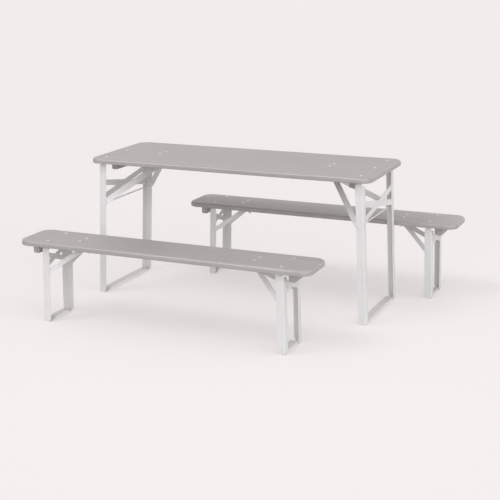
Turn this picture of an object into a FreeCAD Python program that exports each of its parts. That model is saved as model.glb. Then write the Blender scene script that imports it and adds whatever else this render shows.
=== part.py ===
"""A folding garden set at its real size: one long table and two long benches.

Each of the three has a painted board on two leg frames. A leg frame is two legs of angle steel with a
raised runner between the feet and a flat cross brace near the top. It hangs on a hinge plate under the
board, and a strut of two flat arms holds it upright. The tip of the strut carries a pin, which sits in
the hook of a lock bracket under the board, above a small sprung catch.

All lengths are in millimetres and all angles in degrees. +Z is up, +X is along the boards, and -Y is the
side of the front bench. The origin is on the floor, in the middle of the set.
"""
import FreeCAD, Part
import math
import os

import Sketcher

os.makedirs("parts", exist_ok=True)
doc = FreeCAD.newDocument("GardenSet")
sheet = doc.addObject("Spreadsheet::Sheet", "Sizes")

# Driving dimensions: name, number, meaning
DIMENSIONS = (
    ("table_length", 1600, "length of the table board"),
    ("table_width", 600, "width of the table board"),
    ("table_height", 770, "floor to the top of the table board"),
    ("bench_length", 1600, "length of a bench board"),
    ("bench_width", 265, "width of a bench board"),
    ("bench_height", 430, "floor to the top of a bench board"),
    ("board_thickness", 27, "thickness of every board"),
    ("board_corner", 60, "radius of a board's corners, seen from above"),
    ("board_edge", 12, "radius of a board's rounded top edges"),
    ("board_bevel", 4, "bevel of a board's bottom edges"),
    ("front_bench_along", -108, "middle of the front bench along X from the table's middle"),
    ("front_bench_out", 715, "middle of the front bench in front of the table's middle"),
    ("rear_bench_along", 300, "middle of the rear bench along X from the table's middle"),
    ("rear_bench_out", 420, "middle of the rear bench behind the table's middle"),
    ("angle_width", 40, "width of both flanges of a leg's angle steel"),
    ("angle_wall", 2.5, "wall of the angle steel"),
    ("leg_bevel", 8, "bevel of a leg's corners, at the top and at the foot"),
    ("table_leg_rise", 16, "height of a table leg's top above its hinge"),
    ("bench_leg_rise", 14, "height of a bench leg's top above its hinge"),
    ("table_frame_margin", 35, "long edge of the table board to the outer face of a leg"),
    ("bench_frame_margin", 22.5, "long edge of a bench board to the outer face of a leg"),
    ("table_hinge_margin", 69, "end of the table board to the leg hinge"),
    ("bench_hinge_margin", 155, "end of a bench board to the leg hinge"),
    ("table_hinge_drop", 26, "leg hinge below the table board"),
    ("bench_hinge_drop", 24, "leg hinge below a bench board"),
    ("table_pivot_inset", 23, "leg hinge inside the outer face of a table leg"),
    ("bench_pivot_inset", 20, "leg hinge inside the outer face of a bench leg"),
    ("table_splay", 2.54, "outward lean of the table legs"),
    ("bench_splay", 1.51, "outward lean of the bench legs"),
    ("runner_width", 18, "width of the runner between two feet"),
    ("runner_depth", 15, "height of the runner's section"),
    ("runner_lift", 17, "height of the raised part of the runner above its ends"),
    ("runner_end", 26, "length of each low end of the runner"),
    ("runner_slope", 30, "length of each sloping part of the runner"),
    ("table_brace_width", 32, "width of the flats of a table cross brace"),
    ("bench_brace_width", 26, "width of the flats of a bench cross brace"),
    ("brace_thickness", 3, "thickness of a cross brace"),
    ("table_brace_high", 87, "high end of the table cross brace below the hinge"),
    ("table_brace_low", 179, "low end of the table cross brace below the hinge"),
    ("bench_brace_high", 29, "high end of a bench cross brace below the hinge"),
    ("bench_brace_low", 65, "low end of a bench cross brace below the hinge"),
    ("table_strut_drop", 202, "strut pivot of the table below the hinge"),
    ("bench_strut_drop", 117, "strut pivot of a bench below the hinge"),
    ("table_strut_width", 32, "width of the table strut's flats"),
    ("bench_strut_width", 25, "width of a bench strut's flats"),
    ("strut_thickness", 4, "thickness of the strut's flats"),
    ("strut_straight", 8, "straight length beside each end of a strut"),
    ("strut_bevel", 7, "bevel of the corners of a strut's ends"),
    ("table_apex_reach", 231, "lock pin of the table strut from the leg hinge, along the board"),
    ("bench_apex_reach", 160, "lock pin of a bench strut from the leg hinge, along the board"),
    ("table_apex_drop", 24, "lock pin below the table board"),
    ("bench_apex_drop", 20, "lock pin below a bench board"),
    ("apex_half_gap", 11, "half of the gap between the two arms at the lock pin"),
    ("pin_diameter", 8, "pins of the hinges and struts"),
    ("pin_proud", 1.5, "end of a pin beyond the flat that turns on it"),
    ("running_fit", 0.05, "radial clearance of a turning flat on its pin"),
    ("side_gap", 0.3, "gap beside a turning flat"),
    ("hinge_plate_width", 36, "width of a hinge plate"),
    ("plate_thickness", 3, "thickness of a hinge plate"),
    ("ear_width", 26, "width of a hinge plate's ears"),
    ("ear_below", 12, "depth of an ear below the hinge"),
    ("ear_bevel", 7, "bevel of an ear's lower corners"),
    ("lock_base_length", 90, "length of a lock bracket's base across the board"),
    ("lock_base_width", 26, "width of a lock bracket's base"),
    ("lock_thickness", 2.5, "thickness of a lock bracket"),
    ("lock_half_gap", 5.5, "half of the gap between a lock bracket's cheeks"),
    ("cheek_reach", 17, "length of a cheek on each side of the lock pin"),
    ("cheek_below", 13, "depth of a cheek below the lock pin"),
    ("cheek_lip", 7, "reach of the lip under the lock pin"),
    ("pin_seat_gap", 0.3, "gap round the lock pin in its hook"),
    ("lock_slope", 21.5, "fall of the way out of the hook"),
    ("catch_width", 9, "width of a spring catch"),
    ("catch_thickness", 1.5, "thickness of a spring catch"),
    ("catch_gap", 0.6, "gap between a spring catch and the lock pin"),
    ("catch_length", 32, "length of a spring catch below the way out of the hook"),
    ("catch_tab", 9, "length of the thumb tab of a spring catch"),
    ("catch_tab_slope", 55, "fall of the thumb tab of a spring catch"),
    ("cleat_width", 34, "width of a cleat"),
    ("cleat_depth", 42, "height of a cleat"),
    ("cleat_bevel", 8, "bevel of a cleat's lower edges"),
    ("table_cleat_margin", 115, "end of the table board to the middle of a cleat"),
    ("bench_cleat_margin", 95, "end of a bench board to the middle of a cleat"),
    ("table_cleat_inset", 80, "long edge of the table board to the end of a cleat"),
    ("bench_cleat_inset", 30.5, "long edge of a bench board to the end of a cleat"),
)

for row, (alias, number, meaning) in enumerate(DIMENSIONS, start=1):
    sheet.set("A%d" % row, meaning)
    sheet.set("B%d" % row, str(number))
    sheet.setAlias("B%d" % row, alias)
doc.recompute()


class Size:
    """A size worked out from the sheet: the formula as text, and the number that it gives."""

    def __init__(self, text, value):
        self.text = text
        self.value = float(value)

    def __add__(self, other):
        return combine(self, "+", other, self.value + number_of(other))

    def __sub__(self, other):
        return combine(self, "-", other, self.value - number_of(other))

    def __mul__(self, other):
        return combine(self, "*", other, self.value * number_of(other))

    def __truediv__(self, other):
        return combine(self, "/", other, self.value / number_of(other))

    def __neg__(self):
        return combine(0, "-", self, -self.value)


def number_of(item):
    """The number that a size or a plain number stands for."""
    return item.value if isinstance(item, Size) else float(item)


def text_of(item):
    """The formula of a size, or a plain number in brackets."""
    return item.text if isinstance(item, Size) else "(%r)" % item


def combine(left, sign, right, value):
    """Join two sizes by an arithmetic sign."""
    return Size("(%s %s %s)" % (text_of(left), sign, text_of(right)), value)


def call(name, function, *items):
    """A function of sizes, with its name on the sheet and its counterpart here."""
    text = "%s(%s)" % (name, "; ".join(text_of(item) for item in items))
    return Size(text, function(*[number_of(item) for item in items]))


def size(alias):
    """The size in the sheet's cell of that name."""
    return Size("Sizes." + alias, sheet.get(alias))


def sine(angle):
    """Sine of an angle in degrees."""
    return call("sin", lambda degrees: math.sin(math.radians(degrees)), angle)


def cosine(angle):
    """Cosine of an angle in degrees."""
    return call("cos", lambda degrees: math.cos(math.radians(degrees)), angle)


def root(square):
    """Square root of a size."""
    return call("sqrt", math.sqrt, square)


def smallest(*items):
    """The smallest of some sizes."""
    return call("min", min, *items)


def largest(*items):
    """The largest of some sizes."""
    return call("max", max, *items)


def elevation(rise, run):
    """Angle above the level of a slope with that rise and run."""
    return call("atan2", lambda y, x: math.degrees(math.atan2(y, x)), rise, run)


ZERO = Size("0", 0)
angle_width = size("angle_width")
angle_wall = size("angle_wall")
board_thickness = size("board_thickness")
side_gap = size("side_gap")
pin_radius = size("pin_diameter") / 2
hole_radius = pin_radius + size("running_fit")
seat_radius = pin_radius + size("pin_seat_gap")
plate_thickness = size("plate_thickness")
lock_thickness = size("lock_thickness")
lock_half_gap = size("lock_half_gap")
strut_thickness = size("strut_thickness")
way_out_sine = sine(size("lock_slope"))
way_out_cosine = cosine(size("lock_slope"))


class Unit:
    """The table or a bench: its own sizes, and its place in the set."""

    def __init__(self, name, kind, along, out):
        self.name = name
        self.kind = kind
        self.along = along
        self.out = out
        self.under = self.own("height") - board_thickness
        self.hinge_height = self.under - self.own("hinge_drop")
        self.inset = self.own("pivot_inset")
        self.half_length = self.own("length") / 2
        self.half_width = self.own("width") / 2
        self.half = self.half_width - self.own("frame_margin")
        self.hinge_out = self.half_length - self.own("hinge_margin")
        self.apex_out = self.hinge_out - self.own("apex_reach")
        self.splay = self.own("splay")
        self.flange_face = self.half - angle_wall
        # Outer face of the ears and of the strut, which turn just inside the leg's flange
        self.turning_face = self.flange_face - side_gap

    def own(self, what):
        """One of the sizes that the table and the benches have each for themselves."""
        return size(self.kind + "_" + what)

    def floor_at(self, across):
        """Height of the floor from the hinge, along the leaning leg, at a distance outward from the hinge."""
        return -(self.hinge_height + across * sine(self.splay)) / cosine(self.splay)


class End:
    """One end of a unit, with its leg, strut and lock; side is 1 to the right and -1 to the left."""

    def __init__(self, unit, word, side):
        self.unit = unit
        self.side = side
        self.name = unit.name + "_" + word
        drop = unit.own("strut_drop")
        self.strut_out = unit.hinge_out + drop * sine(unit.splay)
        self.strut_height = unit.hinge_height - drop * cosine(unit.splay)
        self.apex_height = unit.under - unit.own("apex_drop")
        self.strut_run = self.strut_out - unit.apex_out
        self.strut_rise = self.apex_height - self.strut_height
        self.strut_length = root(self.strut_run * self.strut_run + self.strut_rise * self.strut_rise)


def origin_plane(body, role):
    """One of the three base planes of a body."""
    return next(item for item in body.Origin.OriginFeatures if item.Role == role + "_Plane")


def new_body(name):
    """An empty body with its name."""
    body = doc.addObject("PartDesign::Body", name)
    body.Label = name
    return body


def place(item, x, y, z, turn=None, axis_y=0, axis_x=0):
    """Put an object at a place worked out from the sheet, turned about the Y or the X direction."""
    angle = turn.value if turn else 0
    rotation = FreeCAD.Rotation(FreeCAD.Vector(axis_x, axis_y, 0 if turn else 1), angle)
    item.Placement = FreeCAD.Placement(FreeCAD.Vector(x.value, y.value, z.value), rotation)
    for letter, length in zip("xyz", (x, y, z)):
        item.setExpression("Placement.Base." + letter, length.text)
    if turn:
        item.setExpression("Placement.Rotation.Angle", turn.text)


def set_size(item, name, length):
    """Give one size of an object its value and its formula."""
    setattr(item, name, length.value)
    item.setExpression(name, length.text)


def new_sketch(body, plane, height):
    """A sketch on one of the body's base planes, raised along that plane's normal."""
    sketch = body.newObject("Sketcher::SketchObject", body.Name + "_sketch")
    sketch.AttachmentSupport = (origin_plane(body, plane), [""])
    sketch.MapMode = "FlatFace"
    sketch.AttachmentOffset = FreeCAD.Placement(FreeCAD.Vector(0, 0, height.value), FreeCAD.Rotation())
    sketch.setExpression("AttachmentOffset.Base.z", height.text)
    return sketch


def pin_down(sketch, geometry, vertex, x, y):
    """Fix a point of a sketch at its distances from the origin."""
    for kind, length in (("DistanceX", x), ("DistanceY", y)):
        if length is None:
            continue
        rule = Sketcher.Constraint(kind, -1, 1, geometry, vertex, length.value)
        index = sketch.addConstraint(rule)
        sketch.setExpression("Constraints[%d]" % index, length.text)


def polygon(*corners):
    """A drawing of one closed outline of straight lines."""
    def draw(sketch):
        first = sketch.GeometryCount
        points = [FreeCAD.Vector(x.value, y.value, 0) for x, y in corners]
        for start, end in zip(points, points[1:] + points[:1]):
            sketch.addGeometry(Part.LineSegment(start, end))
        for index, (x, y) in enumerate(corners):
            following = first + (index + 1) % len(corners)
            sketch.addConstraint(Sketcher.Constraint("Coincident", first + index, 2, following, 1))
            pin_down(sketch, first + index, 1, x, y)
    return draw


def rectangle(x_low, x_high, y_low, y_high):
    """A drawing of one rectangle."""
    return polygon((x_low, y_low), (x_high, y_low), (x_high, y_high), (x_low, y_high))


def circle(x, y, radius):
    """A drawing of one circle."""
    def draw(sketch):
        middle = FreeCAD.Vector(x.value, y.value, 0)
        index = sketch.addGeometry(Part.Circle(middle, FreeCAD.Vector(0, 0, 1), radius.value))
        pin_down(sketch, index, 3, x, y)
        rule = sketch.addConstraint(Sketcher.Constraint("Radius", index, radius.value))
        sketch.setExpression("Constraints[%d]" % rule, radius.text)
    return draw


def slab(body, plane, low, thickness, *drawings):
    """Add what is drawn on a plane, from a low distance on, as thick as stated."""
    height = -(low + thickness) if plane == "XZ" else low
    sketch = new_sketch(body, plane, height)
    for draw in drawings:
        draw(sketch)
    feature = body.newObject("PartDesign::Pad", body.Name + "_pad")
    feature.Profile = sketch
    set_size(feature, "Length", thickness)
    return feature


def cut(body, plane, low, depth, *drawings):
    """Take away what is drawn on a plane, from a low distance on, as deep as stated."""
    height = -low if plane == "XZ" else low + depth
    sketch = new_sketch(body, plane, height)
    for draw in drawings:
        draw(sketch)
    feature = body.newObject("PartDesign::Pocket", body.Name + "_pocket")
    feature.Profile = sketch
    set_size(feature, "Length", depth)
    return feature


def soften(body, kind, base, amount, wanted):
    """Round or bevel the edges of a feature that a test picks out."""
    doc.recompute()
    names = ["Edge%d" % (index + 1) for index, edge in enumerate(base.Shape.Edges) if wanted(edge)]
    feature = body.newObject("PartDesign::" + kind, body.Name + "_" + kind.lower())
    feature.Base = (base, names)
    set_size(feature, "Radius" if kind == "Fillet" else "Size", amount)
    return feature


def runs_along(edge, axis):
    """Whether a straight edge lies along the X, Y or Z direction."""
    if edge.Curve.TypeId != "Part::GeomLine":
        return False
    return abs(abs(edge.Curve.Direction["XYZ".index(axis)]) - 1) < 1e-6


def near(number, length):
    """Whether a number and a size agree."""
    return abs(number - number_of(length)) < 1e-4


def oriented(side, low, thickness):
    """The low distance of a layer that is mirrored to the left end."""
    return low if side > 0 else -(low + thickness)


def both(low, thickness):
    """The low distances of a layer and of its mirror image."""
    return (low, -(low + thickness))


def mirrored(side, corners):
    """An outline about an end's own origin, its first distances turned towards the board's middle."""
    return [(-inward * side, height) for inward, height in corners]


def make_board(unit):
    """Board with rounded corners and top edges, and beveled bottom edges."""
    body = new_body(unit.name + "_board")
    outline = rectangle(-unit.half_length, unit.half_length, -unit.half_width, unit.half_width)
    block = slab(body, "XY", ZERO, board_thickness, outline)
    corners = soften(body, "Fillet", block, size("board_corner"), lambda edge: runs_along(edge, "Z"))

    def edge_at(height):
        return lambda edge: all(near(vertex.Z, height) for vertex in edge.Vertexes)

    top = soften(body, "Fillet", corners, size("board_edge"), edge_at(board_thickness))
    soften(body, "Chamfer", top, size("board_bevel"), edge_at(ZERO))
    place(body, unit.along, unit.out, unit.under)
    return body


def make_leg_frame(end):
    """Two legs of angle steel with the hinge's pins, and the raised runner between their feet."""
    unit, side = end.unit, end.side
    body = new_body(end.name + "_leg_frame")
    heel = unit.inset
    edge = unit.inset - angle_width
    bevel = size("leg_bevel")
    top = unit.own("leg_rise")
    half = unit.half

    runner_width = size("runner_width")
    runner_low = (heel + edge - runner_width) / 2
    floor = unit.floor_at(runner_low)
    low_end = unit.flange_face - size("runner_end")
    high_end = low_end - size("runner_slope")
    lift = floor + size("runner_lift")
    lower = [(-unit.flange_face, floor), (-low_end, floor), (-high_end, lift),
             (high_end, lift), (low_end, floor), (unit.flange_face, floor)]
    upper = [(y, z + size("runner_depth")) for y, z in reversed(lower)]
    slab(body, "YZ", oriented(side, runner_low, runner_width), runner_width, polygon(*lower, *upper))

    # The feet are cut level, so a leg's lowest edge leans with the floor
    flange = [(-edge, unit.floor_at(edge) + bevel), (-edge - bevel, unit.floor_at(edge + bevel)),
              (bevel - heel, unit.floor_at(heel - bevel)), (-heel, unit.floor_at(heel) + bevel),
              (-heel, top - bevel), (bevel - heel, top), (-edge - bevel, top), (-edge, top - bevel)]
    for low in both(unit.flange_face, angle_wall):
        slab(body, "XZ", low, angle_wall, polygon(*mirrored(side, flange)))
    web_low = heel - angle_wall
    foot = unit.floor_at(web_low)
    inner = half - angle_width
    for sign in (-1, 1):
        web = polygon((half * sign, ZERO), (half * sign, foot + bevel), ((half - bevel) * sign, foot),
                      ((inner + bevel) * sign, foot), (inner * sign, foot + bevel), (inner * sign, ZERO))
        slab(body, "YZ", oriented(side, web_low, angle_wall), angle_wall, web)

    pins = [(ZERO, plate_thickness)]
    if unit.kind == "bench":
        pins.append((-unit.own("strut_drop"), strut_thickness))
    for height, turning in pins:
        length = side_gap + turning + size("pin_proud")
        for low in both(unit.flange_face - length, length):
            slab(body, "XZ", low, length, circle(ZERO, height, pin_radius))
    place_on_leg(body, end)
    return body


def place_on_leg(item, end):
    """Put a piece, made about the hinge line, on its leaning leg."""
    unit = end.unit
    x = unit.along + unit.hinge_out * end.side
    place(item, x, unit.out, unit.hinge_height, unit.splay, -end.side)


def make_cross_brace(end):
    """Two crossing flats, welded flat to the inner faces of both legs."""
    unit, side = end.unit, end.side
    body = new_body(end.name + "_cross_brace")
    thickness = size("brace_thickness")
    low = oriented(side, unit.inset - angle_wall - thickness, thickness)
    reach = unit.flange_face
    high_end, low_end = -unit.own("brace_high"), -unit.own("brace_low")
    slope = (high_end - low_end) / (reach * 2)
    half_height = unit.own("brace_width") / 2 * root(slope * slope + 1)
    for sign in (-1, 1):
        flat = polygon((-reach * sign, low_end - half_height), (reach * sign, high_end - half_height),
                       (reach * sign, high_end + half_height), (-reach * sign, low_end + half_height))
        slab(body, "YZ", low, thickness, flat)
    place_on_leg(body, end)
    return body


def make_strut_rod(end):
    """Round rod between the table legs, which the strut turns on."""
    unit = end.unit
    rod = doc.addObject("Part::Cylinder", end.name + "_strut_rod")
    rod.Label = end.name + "_strut_rod"
    set_size(rod, "Radius", pin_radius)
    set_size(rod, "Height", unit.flange_face * 2)
    x = unit.along + end.strut_out * end.side
    place(rod, x, unit.out + unit.flange_face, end.strut_height, Size("90", 90), axis_x=1)
    return rod


def make_strut(end):
    """Two bent flat arms joined by the lock pin; made flat, with the leg pivot at the origin."""
    unit, side = end.unit, end.side
    body = new_body(end.name + "_strut")
    half_width = unit.own("strut_width") / 2
    outer = unit.turning_face
    gap = size("apex_half_gap")
    near_leg = half_width + size("strut_straight")
    near_pin = end.strut_length - near_leg
    tip = end.strut_length + half_width
    # The outer line of an arm bends further along than the inner one, so that the arm keeps its thickness
    slope = (outer - strut_thickness - gap) / (near_pin - near_leg)
    shift = strut_thickness * (root(slope * slope + 1) - 1) / slope
    arms = []
    for sign in (-1, 1):
        route = [(-half_width, outer), (near_leg + shift, outer), (near_pin + shift, gap + strut_thickness),
                 (tip, gap + strut_thickness), (tip, gap), (near_pin, gap),
                 (near_leg, outer - strut_thickness), (-half_width, outer - strut_thickness)]
        arms.append(polygon(*[(-along * side, across * sign) for along, across in route]))
    flats = slab(body, "XY", -half_width, half_width * 2, *arms)
    ends = (half_width * side, -tip * side)

    def end_corner(edge):
        return runs_along(edge, "Y") and any(near(edge.Vertexes[0].X, x) for x in ends)

    soften(body, "Chamfer", flats, size("strut_bevel"), end_corner)
    slab(body, "XZ", -gap, gap * 2, circle(-end.strut_length * side, ZERO, pin_radius))
    cut(body, "XZ", -unit.half, unit.half * 2, circle(ZERO, ZERO, hole_radius))
    x = unit.along + end.strut_out * side
    place(body, x, unit.out, end.strut_height, elevation(end.strut_rise, end.strut_run), side)
    return body


def make_hinge_plate(end):
    """Strip across the board with an ear bent down at each end, which the leg's pin turns in."""
    unit = end.unit
    body = new_body(end.name + "_hinge_plate")
    half_width = size("hinge_plate_width") / 2
    half_ear = size("ear_width") / 2
    reach = unit.turning_face
    drop = unit.own("hinge_drop")
    slab(body, "XY", -plate_thickness, plate_thickness, rectangle(-half_width, half_width, -reach, reach))
    # The ear starts inside the strip, so that the two are one piece
    top = -plate_thickness / 2
    bottom = -drop - size("ear_below")
    bevel = size("ear_bevel")
    ear = polygon((-half_ear, top), (half_ear, top), (half_ear, bottom + bevel), (half_ear - bevel, bottom),
                  (bevel - half_ear, bottom), (-half_ear, bottom + bevel))
    for low in both(reach - plate_thickness, plate_thickness):
        slab(body, "XZ", low, plate_thickness, ear)
    cut(body, "XZ", -unit.half, unit.half * 2, circle(ZERO, -drop, hole_radius))
    place(body, unit.along + unit.hinge_out * end.side, unit.out, unit.under)
    return body


def under_pin(distance, inward):
    """Height of a line beside the pin's way out, at a distance from the pin and at a place inward."""
    return -(distance + way_out_sine * inward) / way_out_cosine


def make_lock_bracket(end):
    """Base under the board with two cheeks, each with a hook for the lock pin that opens inward."""
    unit, side = end.unit, end.side
    body = new_body(end.name + "_lock_bracket")
    half_length = size("lock_base_length") / 2
    half_width = size("lock_base_width") / 2
    drop = unit.own("apex_drop")
    reach = size("cheek_reach")
    base = rectangle(-half_width, half_width, -half_length, half_length)
    slab(body, "XY", -lock_thickness, lock_thickness, base)
    bottom = -drop - size("cheek_below")
    roof = seat_radius - drop
    mouth = [(reach, roof), (-seat_radius, roof), (-seat_radius, under_pin(seat_radius, -seat_radius) - drop),
             (size("cheek_lip"), under_pin(seat_radius, size("cheek_lip")) - drop)]
    cheek = [(-reach, -lock_thickness / 2), (reach, -lock_thickness / 2), *mouth,
             (size("cheek_lip"), bottom), (-reach, bottom)]
    for low in both(lock_half_gap, lock_thickness):
        slab(body, "XZ", low, lock_thickness, polygon(*mirrored(side, cheek)))
    place(body, unit.along + unit.apex_out * side, unit.out, unit.under)
    return body


def make_catch(end):
    """Spring blade bent round under the lock pin, with a thumb tab; made about the lock pin."""
    unit, side = end.unit, end.side
    body = new_body(end.name + "_catch")
    width = size("catch_width")
    thickness = size("catch_thickness")
    near_face = pin_radius + size("catch_gap")
    far_face = near_face + thickness
    top = unit.own("apex_drop") - lock_thickness
    rest = size("lock_base_width") / 2
    blade_end = size("catch_length") * way_out_cosine
    tab_x = size("catch_tab") * cosine(size("catch_tab_slope"))
    tab_z = size("catch_tab") * sine(size("catch_tab_slope"))
    bend = under_pin(near_face, blade_end)
    blade = [(-rest, top), (-near_face, top), (-near_face, under_pin(near_face, -near_face)),
             (blade_end, bend), (blade_end + tab_x, bend - tab_z), (blade_end + tab_x - thickness, bend - tab_z),
             (blade_end - thickness / 2, under_pin(far_face, blade_end)),
             (-far_face, under_pin(far_face, -far_face)), (-far_face, top - thickness), (-rest, top - thickness)]
    slab(body, "XZ", -width / 2, width, polygon(*mirrored(side, blade)))
    place(body, unit.along + unit.apex_out * side, unit.out, end.apex_height)
    return body


def make_cleat(end):
    """Wooden batten across the board with beveled lower edges."""
    unit = end.unit
    body = new_body(end.name + "_cleat")
    half_width = size("cleat_width") / 2
    depth = size("cleat_depth")
    half = unit.half_width - unit.own("cleat_inset")
    block = slab(body, "XY", -depth, depth, rectangle(-half_width, half_width, -half, half))
    soften(body, "Chamfer", block, size("cleat_bevel"),
           lambda edge: all(near(vertex.Z, -depth) for vertex in edge.Vertexes))
    out = unit.half_length - unit.own("cleat_margin")
    place(body, unit.along + out * end.side, unit.out, unit.under)
    return body


def make_unit(unit):
    """All pieces of the table or of a bench."""
    pieces = [make_board(unit)]
    for word, side in (("left", -1), ("right", 1)):
        end = End(unit, word, side)
        pieces += [make_cleat(end), make_hinge_plate(end), make_lock_bracket(end), make_catch(end)]
        pieces += [make_leg_frame(end), make_cross_brace(end), make_strut(end)]
        if unit.kind == "table":
            pieces.append(make_strut_rod(end))
    return pieces


# The set's middle, from the outermost ends and sides of the three boards
table_half_length = size("table_length") / 2
table_half_width = size("table_width") / 2
bench_half_length = size("bench_length") / 2
bench_half_width = size("bench_width") / 2
front_along = size("front_bench_along")
rear_along = size("rear_bench_along")
front_out = -size("front_bench_out")
rear_out = size("rear_bench_out")
left_end = smallest(-table_half_length, front_along - bench_half_length, rear_along - bench_half_length)
right_end = largest(table_half_length, front_along + bench_half_length, rear_along + bench_half_length)
front_side = smallest(-table_half_width, front_out - bench_half_width)
rear_side = largest(table_half_width, rear_out + bench_half_width)
table_along = -(left_end + right_end) / 2
table_out = -(front_side + rear_side) / 2

units = (
    Unit("table", "table", table_along, table_out),
    Unit("front_bench", "bench", table_along + front_along, table_out + front_out),
    Unit("rear_bench", "bench", table_along + rear_along, table_out + rear_out),
)
nodes = [piece for unit in units for piece in make_unit(unit)]
doc.recompute()

for item in doc.Objects:
    if any(word in item.State for word in ("Invalid", "Error")):
        raise RuntimeError("%s failed: %s" % (item.Label, item.State))
for node in nodes:
    if node.Shape.isNull() or not node.Shape.isValid():
        raise RuntimeError("%s has no valid shape" % node.Label)
for node in nodes:
    node.Shape.exportStep("parts/%s.step" % node.Label)
print("%d nodes written" % len(nodes))
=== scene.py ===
"""The looks of a folding garden table with two folding benches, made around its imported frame.

The frame's coordinates are used throughout: +X along the boards, -Y on the side of the front bench, +Z up,
with the origin on the floor. Sizes are kept in millimetres, as on a workshop drawing, and become metres as
a piece is made. A fitting is drawn for the right-hand end of a unit, whose middle is at x = y = 0 on the
floor, and is then copied to each end.
"""
import logging
import math
from dataclasses import dataclass
from enum import Enum
from typing import Callable, NamedTuple, Sequence

import bmesh
import bpy
from mathutils import Matrix, Vector


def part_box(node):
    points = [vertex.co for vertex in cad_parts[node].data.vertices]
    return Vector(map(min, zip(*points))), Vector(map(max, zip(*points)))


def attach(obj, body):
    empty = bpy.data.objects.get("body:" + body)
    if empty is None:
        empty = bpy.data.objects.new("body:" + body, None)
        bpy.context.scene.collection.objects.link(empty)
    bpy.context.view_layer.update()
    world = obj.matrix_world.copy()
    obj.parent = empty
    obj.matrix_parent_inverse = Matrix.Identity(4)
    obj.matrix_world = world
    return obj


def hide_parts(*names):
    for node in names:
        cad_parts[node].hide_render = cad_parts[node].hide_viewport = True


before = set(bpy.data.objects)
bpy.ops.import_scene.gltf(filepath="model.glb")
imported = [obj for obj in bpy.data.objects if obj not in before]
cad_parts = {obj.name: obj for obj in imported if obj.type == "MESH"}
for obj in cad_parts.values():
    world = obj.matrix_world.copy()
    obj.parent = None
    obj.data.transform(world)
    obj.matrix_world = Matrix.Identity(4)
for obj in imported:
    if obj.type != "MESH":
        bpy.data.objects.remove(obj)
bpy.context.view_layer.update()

log = logging.getLogger("garden_set")

# One millimetre, in metres
MM = 0.001
# Two places count as one within this many millimetres
NEAR = 0.05
# Heads, washers and nuts are let this many millimetres into what they lie on
SINK = 0.1
# Points are merged within this many metres
MERGE = 1e-6
# A face looks down when its normal's z is below this
DOWN = -0.9
# Edges whose faces meet at more than this angle, in degrees, are eased
SHARP = 35

Colour = tuple[float, float, float]
Place = tuple[float, float, float]
Spot = tuple[float, float]
Socket = bpy.types.NodeSocket
Test = Callable[..., bool]


class Slot(Enum):
    """Material slots of the record that new pieces take their finish from."""

    BOARD = "board_paint"
    CLEAT = "cleat_paint"
    FRAME = "frame_powder_coat"
    PLATE = "plate_zinc"
    BOLT = "bolt_zinc"
    SPRING = "spring_steel"


class End(Enum):
    """The two ends of a unit; the value turns a right-hand fitting about the unit's middle."""

    RIGHT = 0.0
    LEFT = 180.0

    @property
    def word(self) -> str:
        """The end's name in the frame."""
        return self.name.lower()


class Carrier(Enum):
    """What a fitting moves with."""

    TOP = "top"
    LEG = "leg"
    STRUT = "strut"


# Shaping by hand


class Rounding(NamedTuple):
    """How far from the old edge a rounding starts, in millimetres, and its number of steps."""

    radius: float
    steps: int = 5


def clear_selection() -> None:
    """Leave nothing selected, in object mode."""
    if bpy.context.object and bpy.context.object.mode != "OBJECT":
        bpy.ops.object.mode_set(mode="OBJECT")
    bpy.ops.object.select_all(action="DESELECT")


def arc(centre: Spot, radius: float, start: float, end: float, steps: int) -> list[Spot]:
    """Points along an arc.

    Args:
        centre: Middle of the arc.
        radius: Its radius.
        start: Angle of the first point, in degrees.
        end: Angle of the last point, in degrees.
        steps: Number of straight pieces.

    Returns:
        The points, first and last included.
    """
    angles = [math.radians(start + (end - start) * i / steps) for i in range(steps + 1)]
    return [(centre[0] + radius * math.cos(a), centre[1] + radius * math.sin(a)) for a in angles]


def at(below: float = math.inf, **place: float) -> Test:
    """Make a test for what lies at a place.

    Args:
        below: Greatest height that passes.
        **place: The x, y or z that every point has to have.

    Returns:
        The test, for a point or for the two ends of an edge, in millimetres.
    """
    return lambda *points: all(
        p.z < below + NEAR and all(abs(getattr(p, axis) - value) < NEAR for axis, value in place.items())
        for p in points)


def upright(first: Vector, second: Vector) -> bool:
    """Whether an edge of a block stands upright."""
    return abs(first.z - second.z) > NEAR


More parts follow.
